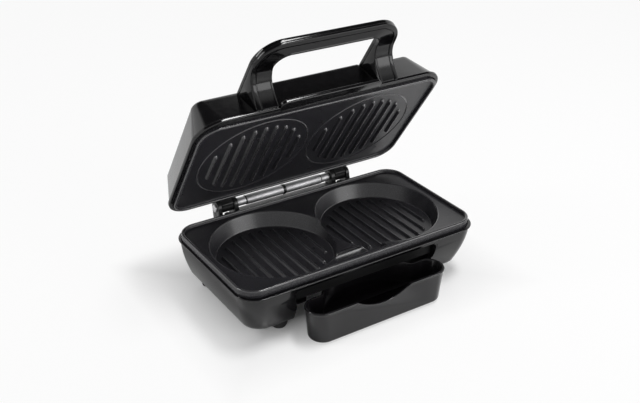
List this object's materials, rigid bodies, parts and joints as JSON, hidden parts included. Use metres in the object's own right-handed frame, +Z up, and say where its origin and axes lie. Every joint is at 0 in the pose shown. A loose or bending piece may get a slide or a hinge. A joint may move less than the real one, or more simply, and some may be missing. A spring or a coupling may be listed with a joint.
{
  "type": "contact grill for hamburgers",
  "caption": "Table-top contact grill with two round ribbed wells, a ribbed lid on a rear hinge, a loop handle, and a grease tray that slides under the front.",
  "frame": {"origin": "on the table, at the centre of the box round the part as it rests with its lid open and its tray drawn out", "axes": "+X to the right seen from the front, the front faces -Y, +Z up"},
  "size_m": [0.254, 0.192, 0.2412],
  "materials": {
    "housing": "smooth dark grey, high gloss",
    "tray": "smooth dark grey, high gloss",
    "handle": "smooth black, soft gloss",
    "black_plastic": "fine grain, satin",
    "grill_plate": "dark non-stick coat, satin",
    "steel": "bright",
    "bright_metal": "polished",
    "rubber": "matt",
    "ceramic": "matt",
    "lamp_lens": "clear red"
  },
  "bodies": {
    "base": {"base_shell": "housing", "base_bottom_cover": "black_plastic", "lower_grill_plate": "grill_plate", "lower_heating_element": "steel", "lower_heat_reflector": "steel", "lower_plate_screws": "steel", "lower_reflector_screws": "steel", "bottom_cover_screws": "steel", "front_feet": "rubber", "rear_feet": "black_plastic", "lower_thermostat": "ceramic", "thermal_fuse": "steel", "terminal_block": "ceramic", "cord_gland": "black_plastic", "base_hinge_brackets": "black_plastic", "bracket_screws": "steel", "hinge_pin": "steel", "hinge_sleeve_left": "bright_metal", "hinge_sleeve_right": "bright_metal", "hinge_collars": "bright_metal"},
    "tray": {"drip_tray": "tray"},
    "lid": {"lid_shell": "housing", "upper_grill_plate": "grill_plate", "upper_heating_element": "steel", "upper_heat_reflector": "steel", "upper_plate_screws": "steel", "upper_reflector_screws": "steel", "upper_thermostat": "ceramic", "lid_hinge_arms": "black_plastic", "hinge_arm_screws": "steel", "handle_base": "handle", "handle_cover": "handle", "handle_screws": "steel", "indicator_lamps": "lamp_lens"}
  },
  "joints": [
    {"name": "lid_hinge", "type": "hinge", "parent": "base", "child": "lid", "pos_m": [0, 0.07332, 0.058], "axis": [-1, 0, 0], "range_deg": [-56, 44]},
    {"name": "tray_slide", "type": "slide", "parent": "base", "child": "tray", "axis": [0, -1, 0], "range_m": [-0.022, 0.04]}
  ]
}
